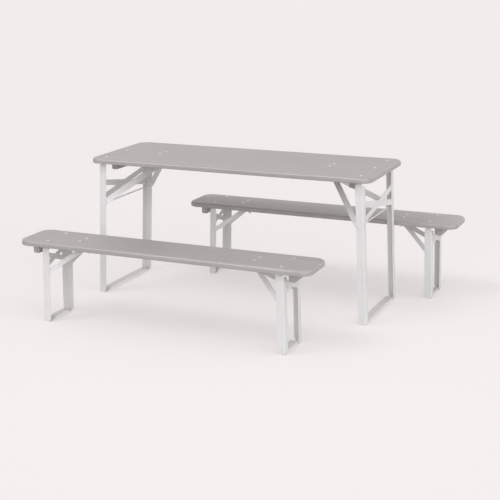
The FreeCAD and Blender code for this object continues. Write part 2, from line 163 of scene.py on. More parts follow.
class Workpiece:
    """A mesh object on the bench, shaped in edit mode with millimetres as its unit."""

    def __init__(self, name: str) -> None:
        """Take the object that was just added and open it for shaping.

        Args:
            name: The object's name.
        """
        self.item = bpy.context.object
        self.item.name = name
        bpy.ops.object.transform_apply(location=True, rotation=True, scale=True)
        bpy.ops.object.mode_set(mode="EDIT")

    def edit(self) -> None:
        """Open this piece, and no other, for shaping."""
        if bpy.context.object != self.item or self.item.mode != "EDIT":
            clear_selection()
            self.item.select_set(True)
            bpy.context.view_layer.objects.active = self.item
            bpy.ops.object.mode_set(mode="EDIT")

    def take_all(self) -> None:
        """Select the whole piece."""
        self.edit()
        bpy.ops.mesh.select_all(action="SELECT")

    # Starting shapes

    @classmethod
    def block(cls, name: str, low: Place, high: Place) -> "Workpiece":
        """Add a block between two corners, or a sheet of no thickness, level or across Y.

        Args:
            name: The object's name.
            low: Lowest corner.
            high: Highest corner; a sheet has the same y or z here.

        Returns:
            The workpiece.
        """
        clear_selection()
        centre = [(a + b) / 2 * MM for a, b in zip(low, high)]
        width, depth, height = [(b - a) * MM for a, b in zip(low, high)]
        if depth and height:
            bpy.ops.mesh.primitive_cube_add(size=1, location=centre, scale=(width, depth, height))
        else:
            tilt = 0 if depth else math.radians(90)
            bpy.ops.mesh.primitive_plane_add(size=1, location=centre, rotation=(tilt, 0, 0))
            bpy.context.object.scale = (width, depth or height, 1)
        return cls(name)

    @classmethod
    def outline(cls, name: str, corners: Sequence[Place]) -> "Workpiece":
        """Draw a flat face by drawing out one point from corner to corner.

        Args:
            name: The object's name.
            corners: The corners, in order round the face.

        Returns:
            The workpiece, with the face selected.
        """
        clear_selection()
        bpy.ops.mesh.primitive_plane_add(size=MM, location=[c * MM for c in corners[0]])
        piece = cls(name)
        bpy.ops.mesh.select_mode(type="VERT")
        piece.take_all()
        bpy.ops.mesh.merge(type="CENTER")
        for start, end in zip(corners, corners[1:]):
            piece.extrude([b - a for a, b in zip(start, end)])
        piece.take_all()
        bpy.ops.mesh.edge_face_add()
        return piece

    @classmethod
    def rod(cls, name: str, start: Place, end: Place, radius: float, sides: int = 32) -> "Workpiece":
        """Add a round rod between two places on one axis.

        Args:
            name: The object's name.
            start: Middle of one end.
            end: Middle of the other end.
            radius: Radius of the rod.
            sides: Number of its sides.

        Returns:
            The workpiece.
        """
        clear_selection()
        first, last = Vector(start) * MM, Vector(end) * MM
        turn = (last - first).to_track_quat("Z", "Y").to_euler()
        bpy.ops.mesh.primitive_cylinder_add(
            vertices=sides, radius=radius * MM, depth=(last - first).length, location=(first + last) / 2,
            rotation=turn)
        return cls(name)

    @classmethod
    def dome(cls, name: str, foot: Place, axis: Place, radius: float, height: float,
             rim: float = 0.4) -> "Workpiece":
        """Make a mushroom head: half a ball, flattened, on a short straight rim.

        Args:
            name: The object's name.
            foot: Middle of the face that it rests on.
            axis: Direction that the dome points in.
            radius: Radius of the rim.
            height: Height of the whole head.
            rim: Height of the straight rim.

        Returns:
            The workpiece.
        """
        clear_selection()
        bpy.ops.mesh.primitive_uv_sphere_add(segments=28, ring_count=16, radius=radius * MM)
        piece = cls(name)
        piece.slice((0, 0, 0), (0, 0, -1), fill=True)
        piece.take_all()
        bpy.ops.transform.resize(value=(1, 1, (height - rim) / radius), center_override=(0, 0, 0))
        piece.pick_underside()
        piece.extrude((0, 0, -rim))
        piece.take_all()
        piece.shift((0, 0, rim))
        turn = Vector((0, 0, 1)).rotation_difference(Vector(axis)).to_matrix().to_4x4()
        piece.settle(Matrix.Translation(Vector(foot) * MM) @ turn)
        return piece

    # Picking

    def pick(self, mode: str, kind: str, test: Test) -> None:
        """Select the points, edges or faces that pass a test, and nothing else.

        Args:
            mode: Select mode: VERT, EDGE or FACE.
            kind: The mesh's name for them: verts, edges or faces.
            test: Takes one of them.
        """
        self.edit()
        bpy.ops.mesh.select_mode(type=mode)
        bpy.ops.mesh.select_all(action="DESELECT")
        mesh = bmesh.from_edit_mesh(self.item.data)
        for element in getattr(mesh, kind):
            if test(element):
                element.select_set(True)
        if mode == "VERT":
            mesh.select_flush_mode()
        bmesh.update_edit_mesh(self.item.data)

    def pick_points(self, test: Test) -> None:
        """Select the points whose place in millimetres passes a test."""
        self.pick("VERT", "verts", lambda point: test(point.co / MM))

    def pick_edges(self, test: Test) -> None:
        """Select the edges whose two ends in millimetres pass a test."""
        self.pick("EDGE", "edges", lambda edge: test(*(point.co / MM for point in edge.verts)))

    def pick_underside(self) -> None:
        """Select the level faces that look down."""
        self.pick("FACE", "faces", lambda face: face.normal.z < DOWN)

    # Shaping

    def extrude(self, move: Sequence[float]) -> None:
        """Draw the selection out, by a distance in millimetres along each axis."""
        value = [m * MM for m in move]
        bpy.ops.mesh.extrude_region_move(TRANSFORM_OT_translate={"value": value})

    def draw_out(self, test: Test, move: Place) -> None:
        """Draw out the edges that pass a test.

        Args:
            test: Takes the two ends of an edge, in millimetres.
            move: Distance along each axis.
        """
        self.pick_edges(test)
        self.extrude(move)

    def shift(self, move: Place) -> None:
        """Move the selection, by a distance in millimetres along each axis."""
        bpy.ops.transform.translate(value=[m * MM for m in move])

    def inset(self, width: float) -> None:
        """Draw a smaller face inside the selected one, a distance in millimetres from its edge."""
        bpy.ops.mesh.inset(thickness=width * MM)

    def bevel(self, rounding: Rounding, affect: str) -> None:
        """Round what is selected: EDGES, or VERTICES of a flat sheet."""
        bpy.ops.mesh.bevel(
            offset=rounding.radius * MM, offset_type="OFFSET", segments=rounding.steps, profile=0.5,
            affect=affect, clamp_overlap=True)

    def round_edges(self, test: Test, rounding: Rounding) -> None:
        """Round the edges whose two ends pass a test."""
        self.pick_edges(test)
        self.bevel(rounding, "EDGES")

    def round_corners(self, test: Test, rounding: Rounding) -> None:
        """Round the corners of a flat sheet that pass a test."""
        self.pick_points(test)
        self.bevel(rounding, "VERTICES")

    def slice(self, place: Place, normal: Place, clear: bool = True, fill: bool = False) -> None:
        """Cut through the whole piece along a plane.

        Args:
            place: A place on the plane, in millimetres.
            normal: Direction in which the material is cleared away.
            clear: Clear the material on that side, or only draw the line.
            fill: Close the cut.
        """
        self.take_all()
        bpy.ops.mesh.bisect(
            plane_co=[p * MM for p in place], plane_no=normal, clear_outer=clear, use_fill=fill,
            threshold=MERGE)

    def settle(self, matrix: Matrix) -> None:
        """Move the whole piece and put its place into its mesh.

        Args:
            matrix: The move.
        """
        self.edit()
        bpy.ops.object.mode_set(mode="OBJECT")
        self.item.matrix_world = matrix
        bpy.ops.object.transform_apply(location=True, rotation=True, scale=True)
        bpy.ops.object.mode_set(mode="EDIT")

    # Finishing

    def turn_outwards(self) -> None:
        """Point all faces outwards."""
        self.take_all()
        bpy.ops.mesh.normals_make_consistent(inside=False)

    def modify(self, kind: str, **settings: object) -> None:
        """Add a modifier and apply it, in object mode.

        Args:
            kind: Blender's name of the modifier's type.
            **settings: Its settings.
        """
        modifier = self.item.modifiers.new(kind, kind)
        for key, value in settings.items():
            setattr(modifier, key, value)
        bpy.ops.object.modifier_apply(modifier=modifier.name)

    def apply(self, kind: str, **settings: object) -> None:
        """Add a modifier and apply it, then open the piece again.

        Args:
            kind: Blender's name of the modifier's type.
            **settings: Its settings.
        """
        self.edit()
        bpy.ops.object.mode_set(mode="OBJECT")
        self.modify(kind, **settings)
        bpy.ops.object.mode_set(mode="EDIT")

    def mirror(self) -> None:
        """Add the mirror image on the other side of y = 0, joined where the two meet."""
        self.apply("MIRROR", use_axis=(False, True, False), use_clip=False, merge_threshold=1e-5)

    def thicken(self, thickness: float) -> None:
        """Give sheet metal its wall, half to each side."""
        self.turn_outwards()
        self.apply("SOLIDIFY", thickness=thickness * MM, offset=0, use_even_offset=True)

    def cut_out(self, tool: "Workpiece") -> None:
        """Take the shape of another workpiece, which is used up, out of this one."""
        self.apply("BOOLEAN", object=tool.item, operation="DIFFERENCE", solver="EXACT")
        bpy.data.objects.remove(tool.item)

    def ease(self, width: float, steps: int = 2) -> None:
        """Break all sharp edges with a small rounding.

        Args:
            width: Width of the rounding.
            steps: Number of its steps.
        """
        self.take_all()
        bpy.ops.mesh.remove_doubles(threshold=MERGE)
        self.turn_outwards()
        self.apply(
            "BEVEL", width=width * MM, segments=steps, limit_method="ANGLE", angle_limit=math.radians(SHARP),
            use_clamp_overlap=True, miter_outer="MITER_ARC")

    def close(self, smooth: float = 40) -> bpy.types.Object:
        """End the shaping: faces outwards, smooth shading up to an angle, flat faces kept flat.

        Args:
            smooth: Largest angle that is shaded smooth, in degrees.

        Returns:
            The finished object.
        """
        self.turn_outwards()
        bpy.ops.object.mode_set(mode="OBJECT")
        bpy.ops.object.shade_smooth_by_angle(angle=math.radians(smooth))
        self.modify("WEIGHTED_NORMAL", keep_sharp=True)
        return self.item


def join(parts: Sequence[Workpiece]) -> Workpiece:
    """Make several workpieces one.

    Args:
        parts: The workpieces; all but the first are used up.

    Returns:
        The first one, with the others in it.
    """
    clear_selection()
    for part in parts:
        part.item.select_set(True)
    bpy.context.view_layer.objects.active = parts[0].item
    bpy.ops.object.join()
    bpy.ops.object.mode_set(mode="EDIT")
    return parts[0]


# Finishes


def toned(colour: Colour, share: float) -> list[float]:
    """A lighter or darker tone of a colour."""
    return [min(1, c * share) for c in colour]


class Nodes:
    """A node tree that is built up from nothing."""

    def __init__(self, tree: bpy.types.NodeTree) -> None:
        """Empty the tree.

        Args:
            tree: Tree of a material or of the world.
        """
        self.tree = tree
        self.tree.nodes.clear()

    def feed(self, node: bpy.types.Node, inputs: dict[str | int, object]) -> None:
        """Give a node's inputs values or other nodes' outputs.

        Args:
            node: The node.
            inputs: A number, a colour or an output, for the name or number of each input.
        """
        for socket, value in inputs.items():
            if isinstance(value, Socket):
                self.tree.links.new(value, node.inputs[socket])
            else:
                node.inputs[socket].default_value = value

    def add(self, kind: str, inputs: dict[str | int, object] | None = None,
            **settings: str) -> bpy.types.Node:
        """Add a node.

        Args:
            kind: Its type, without the word ShaderNode.
            inputs: What its inputs get.
            **settings: Its own settings.

        Returns:
            The node.
        """
        node = self.tree.nodes.new("ShaderNode" + kind)
        for key, value in settings.items():
            setattr(node, key, value)
        self.feed(node, inputs or {})
        return node

    def count(self, operation: str, first: object, second: object) -> Socket:
        """One step of arithmetic on patterns.

        Args:
            operation: Name of the operation.
            first: A number or a pattern.
            second: A number or a pattern.

        Returns:
            The result.
        """
        return self.add("Math", {0: first, 1: second}, operation=operation).outputs["Value"]

    def seen(self) -> Socket:
        """1 for what is seen directly or in a reflection, 0 for the light that falls on things."""
        path = self.add("LightPath")
        return self.count("MAXIMUM", path.outputs["Is Camera Ray"], path.outputs["Is Glossy Ray"])


class Recipe(Nodes):
    """The nodes of one finish, around a Principled shader."""

    def __init__(self, name: str) -> None:
        """Start a material.

        Args:
            name: The material's name.
        """
        self.material = bpy.data.materials.new(name)
        self.material.use_nodes = True
        super().__init__(self.material.node_tree)
        self.shader = self.add("BsdfPrincipled")
        self.add("OutputMaterial", {"Surface": self.shader.outputs["BSDF"]})
        coordinates = self.add("TexCoord")
        self.place, self.normal = coordinates.outputs["Object"], coordinates.outputs["Normal"]

    def noise(self, scale: float, detail: float = 3, rough: float = 0.5, stretch: Place = (1, 1, 1),
              warp: float = 0) -> Socket:
        """A cloud pattern on the object's coordinates.

        Args:
            scale: Number of blobs per metre.
            detail: Number of finer layers.
            rough: Strength of the finer layers.
            stretch: Scale along each axis.
            warp: Distortion of the pattern.

        Returns:
            The pattern's factor.
        """
        place = self.add("Mapping", {"Vector": self.place, "Scale": stretch}).outputs["Vector"]
        settings = {"Vector": place, "Scale": scale, "Detail": detail, "Roughness": rough, "Distortion": warp}
        return self.add("TexNoise", settings).outputs["Fac"]

    def cells(self, scale: float) -> Socket:
        """A pattern of cells, as the crystals in zinc, with that many cells per metre."""
        return self.add("TexVoronoi", {"Vector": self.place, "Scale": scale}).outputs["Distance"]

    def spread(self, source: Socket, low: float, high: float, start: float = 0.0, end: float = 1.0) -> Socket:
        """Map a pattern from one range to another, cut off at both ends.

        Args:
            source: The pattern.
            low: Its value that becomes start.
            high: Its value that becomes end.
            start: First value of the result.
            end: Last value of the result.

        Returns:
            The result.
        """
        ranges = {"Value": source, "From Min": low, "From Max": high, "To Min": start, "To Max": end}
        return self.add("MapRange", ranges).outputs["Result"]

    def blend(self, factor: Socket, first: object, second: object) -> Socket:
        """Mix two colours by a pattern.

        Args:
            factor: The pattern.
            first: Colour where it is 0.
            second: Colour where it is 1.

        Returns:
            The mixed colour.
        """
        colours = [value if isinstance(value, Socket) else (*value, 1) for value in (first, second)]
        return self.add("Mix", {0: factor, 6: colours[0], 7: colours[1]}, data_type="RGBA").outputs[2]

    def upward(self, vector: Socket) -> Socket:
        """The upward share of a place, in metres, or of a direction."""
        return self.add("SeparateXYZ", {"Vector": vector}).outputs["Z"]

    def edges(self, low: float, high: float) -> Socket:
        """Where the surface is strongly curved, as along a piece's edges."""
        return self.spread(self.add("NewGeometry").outputs["Pointiness"], low, high)

    def relief(self, *layers: tuple[Socket, float]) -> Socket:
        """Relief from patterns that lie on each other.

        Args:
            *layers: Each pattern with its difference in height, in millimetres, the lowest first.

        Returns:
            The normal.
        """
        below: dict[str, object] = {}
        for pattern, depth in layers:
            node = self.add("Bump", {"Strength": 1, "Distance": depth * MM, "Height": pattern, **below})
            below = {"Normal": node.outputs["Normal"]}
        return below["Normal"]

    def shade(self, **inputs: object) -> bpy.types.Material:
        """Set the shader's inputs.

        Args:
            **inputs: Values by socket name, with _ for a space.

        Returns:
            The finished material.
        """
        self.feed(self.shader, {key.replace("_", " "): value for key, value in inputs.items()})
        return self.material


@dataclass(frozen=True)
class WoodPaint:
    """Satin paint, rolled on planed softwood whose grain shows through faintly."""

    name: str
    colour: Colour
    grain: float = 0.15
    stipple: float = 0.035
    figure: float = 0.45
    rings: float = 11
    along: Place = (1.0, 14.0, 14.0)
    edge_gloss: float = 0.2

    def material(self) -> bpy.types.Material:
        """Build the material.

        Returns:
            The paint on its wood.
        """
        mix = Recipe(self.name)
        shade, light = toned(self.colour, 0.84), toned(self.colour, 1.07)
        cloud = mix.noise(2.2, detail=4, rough=0.55, stretch=(0.35, 1, 1))
        streak = mix.noise(9, detail=5, rough=0.62, stretch=self.along, warp=0.6)
        fibre = mix.noise(60, rough=0.6, stretch=(0.6, *self.along[1:]))
        roller = mix.noise(420, detail=2)
        figure = mix.noise(self.figure, detail=2, rough=0.35, stretch=self.along, warp=0.3)
        rings = mix.count("PINGPONG", mix.count("MULTIPLY", figure, self.rings), 0.5)
        late_wood = mix.spread(rings, 0.3, 0.48)
        tone = mix.blend(mix.spread(cloud, 0.3, 0.7), shade, light)
        tone = mix.blend(mix.spread(streak, 0.42, 0.75, end=0.55), tone, shade)
        tone = mix.blend(mix.count("MULTIPLY", late_wood, 0.5), tone, shade)
        tone = mix.blend(mix.spread(fibre, 0.64, 0.74, end=0.3), tone, toned(self.colour, 0.7))
        tone = mix.blend(mix.edges(0.53, 0.6), tone, light)
        pores = mix.spread(fibre, 0.5, 0.75, start=1, end=0)
        relief = mix.relief(
            (streak, self.grain), (late_wood, self.grain * 0.35), (pores, self.grain * 0.5),
            (roller, self.stipple))
        matt = mix.spread(roller, 0.3, 0.7, end=0.05)
        gloss = mix.count("ADD", mix.spread(cloud, 0.3, 0.7, start=0.36, end=0.42), matt)
        rise = mix.upward(mix.normal)
        off_level = mix.spread(rise, 0.9, 0.99, start=1, end=0)
        rounding = mix.count("MULTIPLY", mix.spread(rise, 0.1, 0.35), off_level)
        gloss = mix.count("SUBTRACT", gloss, mix.count("MULTIPLY", rounding, self.edge_gloss))
        return mix.shade(Base_Color=tone, Roughness=gloss, Normal=relief, Specular_IOR_Level=0.7)


@dataclass(frozen=True)
class PowderCoat:
    """White powder coat on steel: orange peel, fine specks, scuffs near the floor, and painted shade on
    up-facing faces close to the floor.
    """

    name: str
    colour: Colour
    peel: float = 0.05
    # Shares of the darker tone, used for the specks, the scuffs and the painted shade near the floor
    scuffed: Place = (0.74, 0.71, 0.68)

    def material(self) -> bpy.types.Material:
        """Build the material.

        Returns:
            The powder coat.
        """
        mix = Recipe(self.name)
        # One darker tone for the specks, the scuffs near the floor and the painted shade on low up-facing
        # faces
        scuff_and_shade_tone = [c * share for c, share in zip(self.colour, self.scuffed)]
        height, rise = mix.upward(mix.place), mix.upward(mix.normal)
        cloud = mix.noise(7)
        tone = mix.blend(mix.spread(cloud, 0.35, 0.7), self.colour, toned(self.colour, 0.93))
        tone = mix.blend(mix.spread(mix.noise(900, detail=2), 0.68, 0.76, end=0.25), tone, scuff_and_shade_tone)
        rubbed = mix.spread(mix.noise(55, detail=5, rough=0.7, stretch=(1, 1, 0.35)), 0.55, 0.72)
        marks = mix.count("MULTIPLY", mix.spread(height, 0, 0.09, start=1, end=0), rubbed)
        tone = mix.blend(mix.count("MULTIPLY", marks, 0.6), tone, scuff_and_shade_tone)
        # Painted shade: faces that look up within 2 to 4 cm of the floor, such as the runner's top, are
        # darkened patchily towards the darker tone, standing in for the shade under the board
        low = mix.spread(height, 0.02, 0.04, start=1, end=0)
        painted_shade_on_low_tops = mix.count("MULTIPLY", low, mix.spread(rise, 0.5, 0.8))
        painted_shade_patches = mix.spread(rubbed, 0, 1, start=0.6, end=0.9)
        tone = mix.blend(mix.count("MULTIPLY", painted_shade_on_low_tops, painted_shade_patches), tone, scuff_and_shade_tone)
        tone = mix.blend(mix.edges(0.54, 0.62), tone, toned(self.colour, 1.05))
        coarse, fine = mix.noise(330, detail=2, rough=0.4), mix.noise(1400, detail=1, rough=0.4)
        relief = mix.relief((coarse, self.peel), (fine, self.peel * 0.3))
        gloss = mix.spread(cloud, 0.3, 0.7, start=0.34, end=0.42)
        gloss = mix.count("ADD", gloss, mix.count("MULTIPLY", marks, 0.25))
        return mix.shade(Base_Color=tone, Roughness=gloss, Normal=relief, Specular_IOR_Level=0.5)


@dataclass(frozen=True)
class Zinc:
    """Zinc plating with faint crystals and a rubbed grain."""

    name: str
    colour: Colour
    crystals: float = 260
    rough: float = 0.36
    rub: Place = (1.0, 8.0, 8.0)

    def material(self) -> bpy.types.Material:
        """Build the material.

        Returns:
            The plating.
        """
        mix = Recipe(self.name)
        flake = mix.cells(self.crystals)
        film = mix.noise(35, detail=4, rough=0.6)
        lines = mix.noise(240, rough=0.6, stretch=self.rub)
        tone = mix.blend(mix.spread(flake, 0.1, 0.7), self.colour, toned(self.colour, 0.8))
        tone = mix.blend(mix.spread(film, 0.5, 0.8, end=0.5), tone, toned(self.colour, 0.7))
        tone = mix.blend(mix.edges(0.54, 0.62), tone, toned(self.colour, 1.15))
        relief = mix.relief((lines, 0.02), (flake, 0.012))
        gloss = mix.spread(film, 0.3, 0.8, start=self.rough, end=self.rough + 0.16)
        gloss = mix.count("ADD", gloss, mix.spread(lines, 0.3, 0.7, end=0.08))
        return mix.shade(Base_Color=tone, Roughness=gloss, Normal=relief, Metallic=0.95)


# Photographed colours, as the shader takes them
FINISHES = {
    Slot.BOARD: WoodPaint("board paint", (0.432, 0.407, 0.395)),
    Slot.CLEAT: WoodPaint("cleat paint", (0.41, 0.386, 0.372), grain=0.18, along=(14.0, 1.0, 14.0)),
    Slot.FRAME: PowderCoat("white powder coat", (0.82, 0.812, 0.813)),
    Slot.PLATE: Zinc("zinc on pressed steel", (0.72, 0.72, 0.71)),
    Slot.BOLT: Zinc("zinc on bolts", (0.82, 0.82, 0.81), crystals=600, rough=0.26),
    Slot.SPRING: Zinc("zinc on spring steel", (0.6, 0.6, 0.59), crystals=900, rough=0.3, rub=(8.0, 1.0, 8.0)),
}


# The table's and the benches' own sizes


@dataclass(frozen=True)
class UnitSizes:
    """Sizes of the table or of a bench, in millimetres and degrees."""

    length: float
    width: float
    height: float
    hinge_out: float
    hinge_drop: float
    frame_half: float
    inset: float
    splay: float
    leg_rise: float
    brace_width: float
    brace_high: float
    brace_low: float
    strut_drop: float
    strut_width: float
    apex_out: float
    apex_drop: float
    cleat_out: float
    cleat_half: float
    hinge_bolts: tuple[float, ...]
    cleat_screws: tuple[float, ...]
    round_rod: bool
    board_thickness: float = 27
    angle_width: float = 40
    angle_wall: float = 2.5
    side_gap: float = 0.3
    pin_radius: float = 4
    plate: float = 3
    strut_plate: float = 4
    lock_plate: float = 2.5
    apex_gap: float = 11
    lock_bolts: tuple[float, ...] = (-33, 33)

    @property
    def under(self) -> float:
        """Height of the board's underside."""
        return self.height - self.board_thickness

    @property
    def hinge_height(self) -> float:
        """Height of the leg hinge."""
        return self.under - self.hinge_drop

    @property
    def apex_height(self) -> float:
        """Height of the lock pin."""
        return self.under - self.apex_drop

    @property
    def flange_face(self) -> float:
        """Inner face of a leg's flange, from the middle."""
        return self.frame_half - self.angle_wall

    @property
    def turning_face(self) -> float:
        """Outer face of the ears and the strut, which turn inside the leg."""
        return self.flange_face - self.side_gap

    @property
    def lean(self) -> float:
        """The legs' lean outwards, in radians."""
        return math.radians(self.splay)

    @property
    def leg_place(self) -> Matrix:
        """Puts a piece that was made about the hinge line on the leaning right-hand leg."""
        hinge = Matrix.Translation((self.hinge_out * MM, 0, self.hinge_height * MM))
        return hinge @ Matrix.Rotation(-self.lean, 4, "Y")

    @property
    def strut_pivot(self) -> Spot:
        """Place and height of the strut's pivot on the leg."""
        out = self.hinge_out + self.strut_drop * math.sin(self.lean)
        return (out, self.hinge_height - self.strut_drop * math.cos(self.lean))

    @property
    def strut_length(self) -> float:
        """Strut pivot to lock pin."""
        out, height = self.strut_pivot
        return math.hypot(out - self.apex_out, self.apex_height - height)

    @property
    def strut_place(self) -> Matrix:
        """Puts a strut that was made flat, towards the middle, on its pivot.

        Returns:
            The move.
        """
        out, height = self.strut_pivot
        rise = math.atan2(self.apex_height - height, out - self.apex_out)
        return Matrix.Translation((out * MM, 0, height * MM)) @ Matrix.Rotation(rise, 4, "Y")

    def floor_at(self, across: float) -> float:
        """Height of the floor from the hinge, along the leaning leg.

        Args:
            across: Distance outward from the hinge, square to the leg.

        Returns:
            The height, below zero.
        """
        return -(self.hinge_height + across * math.sin(self.lean)) / math.cos(self.lean)


TABLE = UnitSizes(
    length=1600, width=600, height=770, hinge_out=731, hinge_drop=26, frame_half=265, inset=23, splay=2.54,
    leg_rise=16, brace_width=32, brace_high=87, brace_low=179, strut_drop=202, strut_width=32, apex_out=500,
    apex_drop=24, cleat_out=685, cleat_half=220, hinge_bolts=(-225, 0, 225), cleat_screws=(-150, 0, 150),
    round_rod=True)
BENCH = UnitSizes(
    length=1600, width=265, height=430, hinge_out=645, hinge_drop=24, frame_half=110, inset=20, splay=1.51,
    leg_rise=14, brace_width=26, brace_high=16, brace_low=94, strut_drop=117, strut_width=25, apex_out=485,
    apex_drop=20, cleat_out=705, cleat_half=102, hinge_bolts=(-84, 84), cleat_screws=(-62, 62),
    round_rod=False)


# Pieces


@dataclass
class Piece:
    """A piece of the table or of a bench."""

    sizes: UnitSizes


@dataclass
class Board(Piece):
    """The painted board of the table or of a bench."""

    corner: Rounding = Rounding(60, 14)
    top_edge: Rounding = Rounding(12, 6)
    bottom_edge: Rounding = Rounding(4, 3)

    def build(self) -> bpy.types.Object:
        """Shape the board from a block: corners first, then the long roundings.

        Returns:
            The finished board.
        """
        out, side = self.sizes.length / 2, self.sizes.width / 2
        top, bottom = self.sizes.height, self.sizes.under
        board = Workpiece.block("board", (-out, -side, bottom), (out, side, top))
        board.round_edges(upright, self.corner)
        board.round_edges(at(z=top), self.top_edge)
        board.round_edges(at(z=bottom), self.bottom_edge)
        return board.close(smooth=50)


@dataclass
class Cleat(Piece):
    """A wooden batten across the underside of a board."""

    width: float = 34
    depth: float = 42
    lower_edge: Rounding = Rounding(8, 4)
    edge: float = 1.2

    def build(self) -> bpy.types.Object:
        """Shape the batten from a block.

        Returns:
            The finished cleat.
        """
        out, half, top = self.sizes.cleat_out, self.sizes.cleat_half, self.sizes.under
        bottom = top - self.depth
        cleat = Workpiece.block(
            "cleat", (out - self.width / 2, -half, bottom), (out + self.width / 2, half, top))
        cleat.round_edges(at(z=bottom), self.lower_edge)
        cleat.ease(self.edge)
        return cleat.close()


@dataclass
class HingePlate(Piece):
    """A strip of steel across the board, with an ear bent down at each end for the leg's pin."""

    half_width: float = 18
    half_ear: float = 13
    neck: float = 8
    ear_below: float = 12
    ear_corner: Rounding = Rounding(10, 6)
    fold: Rounding = Rounding(4)
    edge: float = 0.5

    def build(self) -> bpy.types.Object:
        """Fold the strip from a level sheet; each ear narrows over its neck.

        Returns:
            The finished plate.
        """
        sizes, out = self.sizes, self.sizes.hinge_out
        middle = sizes.under - sizes.plate / 2
        reach = sizes.turning_face - sizes.plate / 2
        bottom = sizes.under - sizes.hinge_drop - self.ear_below
        plate = Workpiece.block(
            "hinge plate", (out - self.half_width, 0, middle), (out + self.half_width, reach, middle))
        plate.draw_out(at(y=reach), (0, 0, -self.neck))
        plate.pick_points(at(z=middle - self.neck))
        narrower = (self.half_ear / self.half_width, 1, 1)
        bpy.ops.transform.resize(value=narrower, center_override=(out * MM, reach * MM, 0))
        plate.draw_out(at(z=middle - self.neck), (0, 0, bottom - middle + self.neck))
        plate.round_corners(at(z=bottom), self.ear_corner)
        plate.round_edges(at(y=reach, z=middle), self.fold)
        plate.mirror()
        plate.thicken(sizes.plate)
        plate.ease(self.edge)
        return plate.close()


@dataclass(frozen=True)
class Weld:
    """A small rippled weld bead."""

    radius: float = 1.8
    pitch: float = 0.9

    def run(self, start: Place, end: Place) -> Workpiece:
        """Lay one bead between two places.

        Args:
            start: Where the bead starts.
            end: Where it ends.

        Returns:
            The bead.
        """
        clear_selection()
        first, last = Vector(start), Vector(end)
        bpy.ops.mesh.primitive_ico_sphere_add(subdivisions=2, radius=self.radius * MM, location=first * MM)
        drops = max(2, round((last - first).length / (self.radius * self.pitch)))
        bead = Workpiece("weld")
        step = (last - first) * MM / (drops - 1)
        bead.apply(
            "ARRAY", count=drops, use_relative_offset=False, use_constant_offset=True,
            constant_offset_displace=step)
        return bead


@dataclass
class LockBracket(Piece):
    """A base plate under the board with two hooked cheeks for the lock pin."""

    half_length: float = 45
    half_width: float = 13
    half_gap: float = 5.5
    reach: float = 17
    below: float = 13
    lip: float = 7
    seat: float = 4.3
    seat_steps: int = 10
    slope: float = 21.5
    let_in: float = 0.5
    base_corner: Rounding = Rounding(6)
    cheek_corner: Rounding = Rounding(4)
    bead: Weld = Weld(1.1)
    bead_inset: float = 3
    base_edge: float = 0.4
    cheek_edge: float = 0.35

    def hook(self) -> list[Spot]:
        """The outline of a cheek about the lock pin, let into the base a little.

        Returns:
            Distance inward and height of each corner, in order.
        """
        lean = math.radians(self.slope)
        top = self.sizes.apex_drop - self.sizes.lock_plate + self.let_in
        lip_height = -(self.seat + math.sin(lean) * self.lip) / math.cos(lean)
        seat = arc((0, 0), self.seat, 90, 270 - self.slope, self.seat_steps)
        return [(-self.reach, top), (self.reach, top), (self.reach, self.seat), *seat, (self.lip, lip_height),
                (self.lip, -self.below), (-self.reach, -self.below)]

    def build(self) -> bpy.types.Object:
        """Cut the cheeks from sheet and set them under the base.

        Returns:
            The finished bracket.
        """
        sizes = self.sizes
        out, level, under = sizes.apex_out, sizes.apex_height, sizes.under - sizes.lock_plate
        base = Workpiece.block(
            "lock bracket", (out - self.half_width, -self.half_length, under),
            (out + self.half_width, self.half_length, sizes.under))
        base.round_edges(upright, self.base_corner)
        cheek = Workpiece.outline(
            "cheek", [(out - inward, self.half_gap, level + height) for inward, height in self.hook()])
        cheek.round_corners(at(z=level - self.below), self.cheek_corner)
        cheek.take_all()
        cheek.extrude((0, sizes.lock_plate, 0))
        cheek.mirror()
        face = self.half_gap + sizes.lock_plate
        low, high = out - self.reach + self.bead_inset, out + self.reach - self.bead_inset
        beads = [self.bead.run((low, y, under), (high, y, under)) for y in (-face, face)]
        cheek.ease(self.cheek_edge)
        base.ease(self.base_edge)
        return join([base, cheek, *beads]).close()


@dataclass
class Catch(Piece):
    """A spring blade bent round under the lock pin, with a thumb tab."""

    half_width: float = 4.5
    thickness: float = 1.5
    gap: float = 0.6
    rest: float = 13
    length: float = 32
    slope: float = 21.5
    tab: float = 9
    tab_slope: float = 55
    tab_corner: Rounding = Rounding(3, 4)
    bend: Rounding = Rounding(2)
    edge: float = 0.25

    def course(self) -> list[Spot]:
        """The middle of the blade about the lock pin, from its rest to the tip of the tab.

        Returns:
            Distance inward and height of each end and bend, in order.
        """
        lean, down, half = math.radians(self.slope), math.radians(self.tab_slope), self.thickness / 2
        near = self.sizes.pin_radius + self.gap + half
        top = self.sizes.apex_drop - self.sizes.lock_plate - half
        end = self.length * math.cos(lean)
        first, last = (-(near + math.sin(lean) * inward) / math.cos(lean) for inward in (-near, end))
        return [(-self.rest, top), (-near, top), (-near, first), (end, last),
                (end + self.tab * math.cos(down) - half, last - self.tab * math.sin(down) + half)]

    def build(self) -> bpy.types.Object:
        """Draw the blade out from an edge, bend by bend.

        Returns:
            The finished catch.
        """
        out, level = self.sizes.apex_out, self.sizes.apex_height
        places = [(out - inward, level + height) for inward, height in self.course()]
        (rest_x, top), (turn_x, _), (tip_x, tip_z) = places[0], places[1], places[-1]
        blade = Workpiece.block("catch", (turn_x, -self.half_width, top), (rest_x, self.half_width, top))
        for (x, z), (next_x, next_z) in zip(places[1:], places[2:]):
            blade.draw_out(at(x=x, z=z), (next_x - x, 0, next_z - z))
        blade.round_corners(at(x=tip_x, z=tip_z), self.tab_corner)
        for x, z in places[1:-1]:
            blade.round_edges(at(x=x, z=z), self.bend)
        blade.thicken(self.thickness)
        blade.ease(self.edge)
        return blade.close()


